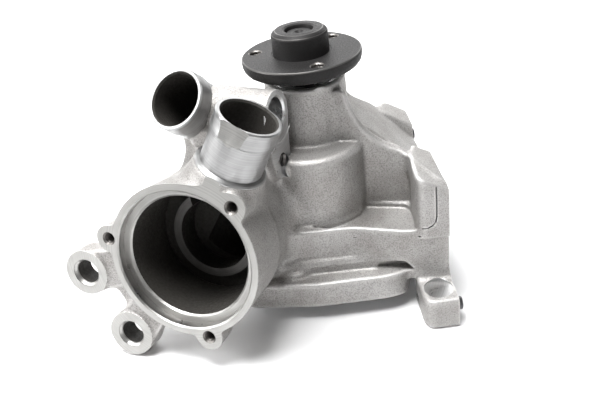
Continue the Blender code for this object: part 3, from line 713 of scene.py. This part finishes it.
def thermostat_body():
    """Thermostat chamber with its lugs and ears."""
    add(bar(STAT_CENTRE + 1.5 * STAT_OUT, STAT_CENTRE - 30 * STAT_OUT, 39.0, 37.5, 1.0), 3)
    add(bar(STAT_CENTRE - 24 * STAT_OUT, STAT_CENTRE - 44 * STAT_OUT, 37.4, 34, 7), 3)
    add(bar(STAT_CENTRE - 30 * STAT_OUT, (-20, -12, 40), 35, 21, 8), 6)
    add(wedge([(-58, -46, 0.5), (-36, -49, 0.5), (-33, -38, 0.5), (-44, -30, 0.5),
               (-60, -46, 24), (-34, -46, 30), (-30, -36, 30), (-46, -28, 30)], 4), 4)
    for angle in STAT_SCREW_ANGLES:
        start, end = on_stat(STAT_SCREW_R, angle, -1.5), on_stat(STAT_SCREW_R, angle, 15)
        add(bar(start, end, 7.0, 6.4, 2), 1.2)
        add(bar(on_stat(STAT_SCREW_R - 5, angle, -1.5), on_stat(STAT_SCREW_R - 9, angle, 24),
                7.4, 6, 3), 3.5)
    for radius, angle in STAT_EARS:
        add(bar(on_stat(radius, angle, 0.3), on_stat(radius, angle, 14), 12.0, 12.0, 1.2), 1.5)
        turn = radians(angle)
        out = (cos(turn) * STAT_A + sin(turn) * STAT_B).normalized()
        across = out.cross(STAT_OUT)
        add(slab([(-26, -9.5), (0, -11.4), (0, 11.4), (-26, 9.5)], 2.6, 13, 1.4,
                 (on_stat(radius, angle), out, across, -STAT_OUT)), 2.0)
    add(slab([(0, 0), (30, 0), (30, 34), (0, 34)], 4.5, 11, 1.4,
             (on_stat(50, -49), (on_stat(52, -15) - on_stat(52, -49)).normalized(),
              (STAT_CENTRE - on_stat(50, -32)).normalized(), -STAT_OUT)), 3.0)


def stub_roots():
    """Roots of the stubs, the saddle between them and the side port."""
    for (point, out), tail in ((STUB_A, 50), (STUB_B, 46)):
        add(bar(point - 27.4 * out, point - tail * out, 17.6, 19.5, 1.6), 3)
    add(bar(STUB_A[0] - 34 * STUB_A[1], STUB_A[0] - 54 * STUB_A[1], 18.5, 17, 4), 4)
    add(bar(STUB_A[0] - 44 * STUB_A[1], STAT_CENTRE - 33 * STAT_OUT + Vector((0, 0, 12)), 17.5,
            19, 14), 6)
    add(bar(STUB_A[0] - 50 * STUB_A[1], (-22, -6, 58), 16, 14, 13), 7)
    add(slab(soften([(-62, -26), (-54, -8), (-30, -24), (-38, -40)], 4), 88, 99, 2.5), 5)
    add(bar(STAT_CENTRE - 20 * STAT_OUT + Vector((0, 0, 23)),
            STUB_B[0] - 40 * STUB_B[1], 14.5, 17.5, 13), 6)
    add(bar(STUB_B[0] - 42 * STUB_B[1], (-34, -16, 56), 17.5, 16, 14), 7)
    add(bar(PAD_CENTRE - 2 * PAD_OUT, PAD_CENTRE - 34 * PAD_OUT, 12.0, 12.8, 1), 3.5)
    add(bar(PAD_CENTRE + 1.4 * PAD_OUT, PAD_CENTRE - 6 * PAD_OUT, 12.2, 12.2, 1.2), 1.0)
    low = PAD_CENTRE + LUG_DROP
    side = PAD_OUT.cross(Vector((0, 0, 1)))
    add(slab(soften([(-11.6, 0), (11.6, 0), (9.0, -25), (6, -33), (-6, -33), (-9.0, -25)], 5),
             -1.4, 14, 1.4, (PAD_CENTRE, side, (0, 0, 1), -PAD_OUT)), 2.5)
    add(bar(low - 6 * PAD_OUT, low - 16 * PAD_OUT + Vector((0, 0, -4)), 8.5, 9, 3), 5)


def hollows():
    """Pocket in the shelf, and the scoops above the shelf and above the rim."""
    pocket = (arc((-1, -9), DRUM_R + 1.0, 258, 318, 12) + [(24, -22), (44.5, -28), (46.5, -32)]
              + [(45.5, -52.2), (39, -51.4), (26, -46.6), (14, -42.3), (2, -41.6)])
    carve(slab(soften(pocket, 2), SHELF_Z - 2.6, SHELF_Z + 4.5, 0.6), 0.5)
    carve(wedge([(14, -62, 15.0), (47, -62, 15.0), (41, -47.5, 15.0), (26, -46.5, 15.0),
                 (20, -62, 21), (42, -62, 21), (38, -51, 20), (26, -50, 20)], 0.8), 0.5)


def thread(name, start, direction, radius, depth, segments=20, flare=0.9):
    """Cutter for a threaded hole: a lead-in cone, then grooves of the thread."""
    profile = [(0, -2), (radius + flare, -2), (radius + flare, 0), (radius, flare)]
    z = flare + 0.6
    while z < depth - 1.2:
        profile += [(radius, z), (radius + 0.35, z + 0.45), (radius, z + 0.9)]
        z += 1.1
    profile += [(radius, depth - 0.5), (0, depth)]
    return turned(name, profile, segments, toward(start, direction), (HOLE_PAINTED_SHADE,))


def machining():
    """Sharp cutters for the machined faces, bores and threads, and for the cored ways."""
    face = toward(STAT_CENTRE, -STAT_OUT)
    ring_centre = STAT_CENTRE - STAT_RING_DEPTH * STAT_OUT
    cuts = [
        block("block_facing", (BLOCK_X, -95, -20), (BLOCK_X + 9, 80, 120), (BLOCK_FACE,)),
        turned("stat_facing", ((0, -12), (95, -12), (95, 0), (0, 0)), 96, face, (FACED,)),
        turned("stat_bore", ((0, -2), (STAT_SEAT_R + 0.8, -2), (STAT_SEAT_R + 0.8, 0),
                             (STAT_SEAT_R, 0.8), (STAT_SEAT_R, 5.5), (STAT_CAVITY_R + 0.8, 5.5),
                             (STAT_CAVITY_R, 6.4), (STAT_CAVITY_R, STAT_RING_DEPTH + 4.5),
                             (23.4, STAT_RING_DEPTH + 4.5), (23.4, STAT_RING_DEPTH),
                             (0, STAT_RING_DEPTH)), 144, face, (FACED, BORED, INSIDE_PAINTED_SHADE, RING_FACE_PAINTED_SHADE),
               (0, 0, 0, 1, 0, 0, 2, 2, 3, 3, 3)),
        rod("inlet_bore", ring_centre + STAT_OUT, ring_centre - 14 * STAT_OUT, 18.9, 18.9, 64,
            (INSIDE_PAINTED_SHADE,)),
        rod("inlet", ring_centre - 9 * STAT_OUT, (-14, -10, 15), 15.0, 11.0, 64, (INSIDE_PAINTED_SHADE,)),
        rod("chamber", (0, 0, 2), (0, 0, 24), CHAMBER_R, CHAMBER_R, 96, (SHAFT_CUT,)),
        rod("cover_seat", (0, 0, -3), (0, 0, 4.4), COVER_SEAT_R, COVER_SEAT_R, 96, (SHAFT_CUT,)),
        block("rear_facing", (-50, -59, -4), (56.5, 49, 0.0), (SHAFT_CUT,)),
        rod("outlet", (20, 6, 15), (BLOCK_X + 2, 6, 25), 9.5, 12.0, 48, (INSIDE_PAINTED_SHADE,)),
        turned("outlet_groove", ((14.4, -2.3), (17.6, -2.3), (17.6, 2), (14.4, 2)), 64,
               toward(OUTLET, (1, 0, 0)), (BLOCK_FACE,)),
        turned("shaft_bore", ((0, 23), (16.3, 23), (16.3, 42), (12.5, 42), (12.5, 62),
                              (BEARING_R, 62), (BEARING_R, 106.2), (18.1, 107.2), (18.1, 109),
                              (0, 109)), 64, None, (SHAFT_CUT,)),
        rod("core_hole", (0, 30, 19), (0, 60, 19), 8.0, 8.0, 40, (SHAFT_CUT,)),
        turned("port_facing", ((0, -6), (PAD_R, -6), (PAD_R, 0), (0, 0)), 64,
               toward(PAD_CENTRE, -PAD_OUT), (PAD_CUT,)),
        hull("lug_facing", [place @ Vector((r * cos(2 * pi * i / 48), r * sin(2 * pi * i / 48), z))
                            for place, r in ((PAD_PLANE, 12.4), (LUG_PLANE, 9.0))
                            for z in (-1.5, 0.01) for i in range(48)], (PAD_CUT,)),
        turned("port_bore", ((0, -2), (PORT_R + 1, -2), (PORT_R + 1, 0), (PORT_R, 1.0),
                             (PORT_R, 12), (5.0, 14), (5.0, 24), (0, 24)), 48,
               toward(PAD_CENTRE, -PAD_OUT), (PAD_CUT, INSIDE_PAINTED_SHADE), (0, 0, 0, 0, 0, 1, 1, 1)),
        rod("spot_face", (53.0, -65.2, 9.1), (53.0, -65.2, 19), 7.4, 7.4, 64, (PAD_CUT,)),
        block("ear_flat", (-112, -92, -20), (-58, -40, FOOT_Z), (CAST,)),
        rod("weep", (0, 9, 50), (-14, 60, 50), 2.6, 2.6, 20, (INSIDE_PAINTED_SHADE,)),
        rod("stub_a_way", STUB_A[0] - 40 * STUB_A[1],
            STAT_CENTRE - 30 * STAT_OUT + Vector((0, 0, 14)), WAY_R, WAY_R, 64, (INSIDE_PAINTED_SHADE,)),
        rod("stub_b_way", STUB_B[0] - 38 * STUB_B[1],
            STAT_CENTRE - 24 * STAT_OUT + Vector((0, 0, 8)), WAY_R, WAY_R, 64, (INSIDE_PAINTED_SHADE,)),
        thread("port_thread", PAD_CENTRE + Vector((0, 0, -24)), -PAD_OUT, SMALL_THREAD_R, 9),
        thread("rim_thread", (-18, -42, 17.4), (0, 0, -1), SMALL_THREAD_R, 12),
    ]
    # These grooves carry the darkened casting colour, which paints shade into them.
    cuts += groove([(54.6, -56.95, 66), (54.6, -56.95, 47), (54.0, -56.95, 44), (52.6, -56.9, 42.2),
                    (50, -56.8, 41.2), (46.5, -56.3, 40.6)], 0.5, (GROOVE_PAINTED_SHADE,))
    cuts += groove([(14, -45.0, 33.2), (26, -49.6, 34.6), (40, -55.0, 35.6), (52, -55.9, 36.0)],
                   0.4, (GROOVE_PAINTED_SHADE,))
    for point, out in (STUB_A, STUB_B):
        cuts.append(turned("stub_bore", ((0, -2), (STUB_BORE_R + 0.7, -2),
                                         (STUB_BORE_R + 0.7, 0), (STUB_BORE_R, 1.0),
                                         (STUB_BORE_R, 46), (0, 46)), 72,
                           toward(point, -out), (INSIDE_PAINTED_SHADE,)))
    for angle in STAT_SCREW_ANGLES:
        cuts.append(thread("stat_thread", on_stat(STAT_SCREW_R, angle), -STAT_OUT,
                           SMALL_THREAD_R, 12.5))
    for radius, angle in STAT_EARS:
        place = toward(on_stat(radius, angle), -STAT_OUT)
        cuts.append(turned("ear_face", ((0, -6), (EAR_FACE_R, -6), (EAR_FACE_R, 1.5), (0, 1.5)),
                           72, place, (FACED,)))
        cuts.append(turned("ear_bolt", ((0, -2), (7.4, -2), (7.4, 1.9), (6.3, 3.0),
                                        (EAR_BOLT_R, 3.6), (EAR_BOLT_R, 17), (0, 17)), 72,
                           place, (FACED, INSIDE_PAINTED_SHADE),
                           (0, 0, 0, 0, 1, 1, 1)))
    for spot in COVER_SCREWS:
        cuts.append(rod("cover_thread", spot + Vector((0, 0, 2)), spot + Vector((0, 0, 13.5)),
                        2.3, 2.3, 16, (HOLE_PAINTED_SHADE,)))
    for y, z in BLOCK_BOLTS:
        cuts.append(thread("block_bolt", (BLOCK_X, y, z), (-1, 0, 0), 3.4, 13))
    for y, z in DOWELS:
        cuts.append(rod("dowel_hole", (BLOCK_X - 9.3, y, z), (BLOCK_X + 2, y, z),
                        DOWEL_R + 0.3, DOWEL_R + 0.3, 32, (HOLE_PAINTED_SHADE,)))
    return cuts


def closed_net():
    """Even out the field in the few cells where sheets touch, until the mesh is closed."""
    for _ in range(20):
        mesh, cells = net()
        if mesh is not None:
            return mesh
        for i, j, k in cells:
            spot = (slice(i, i + 2), slice(j, j + 2), slice(k, k + 2))
            mean = FIELD[spot].mean()
            FIELD[spot] = mean if abs(mean) > 0.01 else 0.01
    raise RuntimeError("the casting's surface isn't closed")


def make_casting():
    for shapes in (pump_body, webs, block_side, thermostat_body, stub_roots, hollows):
        shapes()
    casting = link("housing_casting", closed_net(), CAST)
    stubs = []
    for (point, out), metal in zip((STUB_A, STUB_B), STUB_CUT):
        stubs.append(turned("stub", ((0, 0), (STUB_R - COLLAR, 0), (STUB_R - 0.1, 0.6),
                                     (STUB_R - 0.2, 3.2),
                                     (STUB_R - 0.1, 6.0), (STUB_R, 6.5), (STUB_R, 8.6),
                                     (STUB_R - COLLAR, 9.3), (STUB_R - COLLAR, 26.4),
                                     (STUB_R + 0.9, 27.0), (STUB_R + 1.6, 27.7),
                                     (STUB_R + 1.6, 34), (0, 34)), 96, toward(point, -out),
                            (metal,)))
    combine(casting, stubs, "UNION")
    combine(casting, machining(), "DIFFERENCE")
    return smooth_casting(casting)


casting = make_casting()
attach(casting, "housing")
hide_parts("pump_housing")


# ---------------------------------------------------------------- flange and small parts

def piece(obj, body, node_name):
    """Let obj ride a body in place of a CAD node."""
    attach(obj, body)
    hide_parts(node_name)


def flange():
    low = FLANGE_TOP - FLANGE_THICK
    # outline of (radius, height, slot of the band that follows), where slot 1 is the lighter band
    # on the chamfers: worn oxide and a painted highlight
    steps = [(7.1, low - 3, 0), (12.0, low - 3, 1), (12.5, low - 2.5, 0), (12.5, low, 0),
             (FLANGE_R - 3.0, low, 0), (FLANGE_R - 1.6, low + 0.9, 0),
             (FLANGE_R - 0.5, low + 2.3, 0), (FLANGE_R, low + 4.0, 0),
             (FLANGE_R, FLANGE_TOP - 0.7, 1), (FLANGE_R - 0.25, FLANGE_TOP - 0.25, 1),
             (FLANGE_R - 0.7, FLANGE_TOP, 0), (NOSE_R + 1.0, FLANGE_TOP, 0),
             (NOSE_R + 0.9, FLANGE_TOP - 0.3, 0), (NOSE_R + 0.1, FLANGE_TOP - 0.3, 0),
             (NOSE_R, FLANGE_TOP + 0.2, 0), (NOSE_R, NOSE_TOP - 2.3, 0),
             (NOSE_R - 0.3, NOSE_TOP - 1.7, 1), (NOSE_R - 0.6, NOSE_TOP - 1.3, 0),
             (NOSE_R - 2.1, NOSE_TOP - 0.2, 1), (NOSE_R - 2.6, NOSE_TOP, 0), (8.4, NOSE_TOP, 0),
             (7.4, NOSE_TOP - 0.5, 0), (7.1, NOSE_TOP - 1.2, 0)]
    part = turned("flange_black", [(r, z) for r, z, _ in steps], 128, None, (BLACK, BLACK_WORN_AND_HIGHLIGHT),
                  [slot for _, _, slot in steps])
    holes = []
    for angle in TAPPED_ANGLES:
        spot = Vector((TAPPED_CIRCLE_R * cos(radians(angle)),
                       TAPPED_CIRCLE_R * sin(radians(angle)), FLANGE_TOP))
        holes.append(thread("tapped", spot, (0, 0, -1), 3.1, 10, 28, 0.6))
    return smooth(combine(part, holes, "DIFFERENCE"), 25)


def shaft():
    profile = ((0, 6), (SHAFT_R - 0.6, 6), (SHAFT_R, 6.6), (SHAFT_R, 107.5), (6.8, 108),
               (6.8, 129.4), (6.3, 130.0), (5.6, 130.2), (2.4, 130.2), (2.0, 129.8), (0, 128.2))
    return smooth(turned("shaft_steel", profile, 64, None, (GROUND, BLACK),
                         (0, 0, 0, 0, 0, 1, 1, 1, 1, 1, 0)), 25)


def cover():
    profile = ((0, 0), (COVER_R - 0.8, 0), (COVER_R - 0.2, 0.25), (COVER_R, 0.8), (COVER_R, 3),
               (0, 3))
    part = turned("cover_plate", profile, 128, None, (SHAFT_CUT,))
    hole = ((0, -1), (3.3, -1), (3.3, 0.3), (2.3, 1.5), (2.3, 5), (0, 5))
    holes = [turned("hole", hole, 40, Matrix.Translation(spot * MM), (HOLE_PAINTED_SHADE,))
             for spot in COVER_SCREWS]
    return smooth(combine(part, holes, "DIFFERENCE"), 25)


def cover_screw(index, spot):
    """Countersunk screw with a hexagon socket, its head flush with the cover."""
    place = Matrix.Translation(spot * MM)
    profile = ((0, 0.3), (2.85, 0.3), (3.0, 0.4), (3.0, 0.55), (2.0, 1.7), (2.0, 12),
               (1.5, 12.6), (0, 12.6))
    screw = turned(f"socket_screw_{index}", profile, 40, place, (ZINC,))
    # The socket's walls take the dark colour: painted shade inside the socket.
    socket = turned("socket", ((0, -1), (1.35, -1), (1.2, 0.5), (1.2, 1.6), (0, 1.9)), 6,
                    place, (DARK_STEEL_AND_SOCKET_SHADE,))
    return smooth(combine(screw, [socket], "DIFFERENCE"), 30)


def dowel(name, y, z):
    profile = ((0, -9), (DOWEL_R - 0.6, -9), (DOWEL_R, -8.4), (DOWEL_R, 2.2),
               (DOWEL_R - 0.2, 2.7), (DOWEL_R - 0.7, 3.0), (0, 3))
    place = toward((BLOCK_X, y, z), (1, 0, 0))
    return smooth(turned(f"dowel_pin_{name}", profile, 40, place, (DARK_STEEL_AND_SOCKET_SHADE,)))


def outlet_ring():
    """O-ring in the groove round the coolant outlet."""
    profile = [(SEAL_R + SEAL_WIRE_R * cos(2 * pi * i / SEAL_STEPS),
                -1.0 + SEAL_WIRE_R * sin(2 * pi * i / SEAL_STEPS)) for i in range(SEAL_STEPS)]
    return smooth(turned("o_ring", profile, 96, toward(OUTLET, (1, 0, 0)), (RUBBER,)), 60)


def core_plug():
    """Pressed steel cup that closes the hole of the sand core."""
    profile = ((0, 0), (6.6, 0), (7.3, 0.2), (7.6, 0.8), (7.6, 3.4), (6.9, 3.4), (6.6, 3.1),
               (6.4, 1.6), (5.9, 1.2), (0, 1.0))
    return smooth(turned("core_cup", profile, 64, toward((0, 37, 19), (0, 1, 0)), (ZINC,)))


piece(flange(), "rotor", "drive_flange")
piece(shaft(), "rotor", "pump_shaft")
piece(cover(), "housing", "rear_cover")
for index, spot in enumerate(COVER_SCREWS, 1):
    piece(cover_screw(index, spot), "housing", f"cover_screw_{index}")
for name, (y, z) in zip(("upper", "lower"), DOWELS):
    piece(dowel(name, y, z), "housing", f"dowel_{name}")
piece(outlet_ring(), "housing", "outlet_seal_ring")
piece(core_plug(), "housing", "core_plug")

# The other pieces keep their CAD shape and get their material.
FINISH = {"cover_gasket": FIBRE, "weep_cap": RUBBER, "bearing_outer_ring": GROUND,
          "bearing_seal_front": RUBBER, "bearing_seal_rear": RUBBER, "front_cage": NYLON,
          "rear_cage": NYLON, "slinger_ring": RUBBER, "seal_cup": ZINC, "seal_bellows": RUBBER,
          "seal_carbon_ring": CARBON, "seal_seat_ring": CERAMIC, "impeller": IRON}
for name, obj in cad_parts.items():
    metal = FINISH.get(name, GROUND if "_ball_" in name else None)
    if metal is not None:
        obj.data.materials.clear()
        obj.data.materials.append(metal)


# ---------------------------------------------------------------- stage, camera and light

def stage():
    bm = bmesh.new()
    bmesh.ops.create_grid(bm, x_segments=1, y_segments=1, size=3.0)
    mat, tree, shader = new_material("floor_paper", (0.865, 0.865, 0.87), 0.7, 0.0)
    grain = noise(tree, object_place(tree), 40, 3.0)
    tone = ramp(tree, grain, (0.3, (0.855, 0.855, 0.86)), (0.7, (0.875, 0.875, 0.88)))
    tree.links.new(tone, shader.inputs["Base Color"])
    floor = from_bmesh("floor", bm, mat)
    floor.location = (0, 0, (FOOT_Z - 0.1) * MM)


def area(name, place, target, size, power):
    lamp = bpy.data.lights.new(name, "AREA")
    lamp.shape = "RECTANGLE"
    lamp.size, lamp.size_y = size
    lamp.energy = power
    obj = bpy.data.objects.new(name, lamp)
    bpy.context.scene.collection.objects.link(obj)
    obj.location = place
    obj.rotation_euler = (Vector(target) - Vector(place)).to_track_quat("-Z", "Y").to_euler()


# The camera's place, and its picture's right and up directions.
CAMERA_PLACE = Vector((-10.70, -341.79, 238.37)) * MM
CAMERA_RIGHT = Vector((0.99098, -0.06901, -0.11484))
CAMERA_UP = Vector((0.13398, 0.51039, 0.84944))


def camera():
    data = bpy.data.cameras.new("camera")
    data.sensor_width = 36.0
    data.lens = 42.0
    data.clip_start = 0.01
    obj = bpy.data.objects.new("camera", data)
    bpy.context.scene.collection.objects.link(obj)
    back = CAMERA_RIGHT.cross(CAMERA_UP)
    turn = Matrix((CAMERA_RIGHT, CAMERA_UP, back)).transposed().to_4x4()
    obj.matrix_world = Matrix.Translation(CAMERA_PLACE) @ turn
    bpy.context.scene.camera = obj


stage()
camera()
area("back_box", (0.0, 1.0, 0.62), (0, 0, 0.05), (1.9, 0.75), 16)
area("top_box", (-0.15, -0.1, 1.0), (-0.02, 0, 0.05), (0.5, 0.4), 17)
area("left_box", (-0.95, -0.1, 0.55), (-0.03, -0.03, 0.06), (0.5, 0.7), 9)
area("right_box", (0.8, -0.75, 0.5), (0.0, 0, 0.05), (0.4, 0.6), 0.8)
world = bpy.data.worlds.new("studio")
bpy.context.scene.world = world
world.use_nodes = True
world.node_tree.nodes["Background"].inputs["Color"].default_value = (1, 0.995, 0.985, 1)
world.node_tree.nodes["Background"].inputs["Strength"].default_value = 0.14
bpy.context.scene.view_settings.view_transform = "Standard"
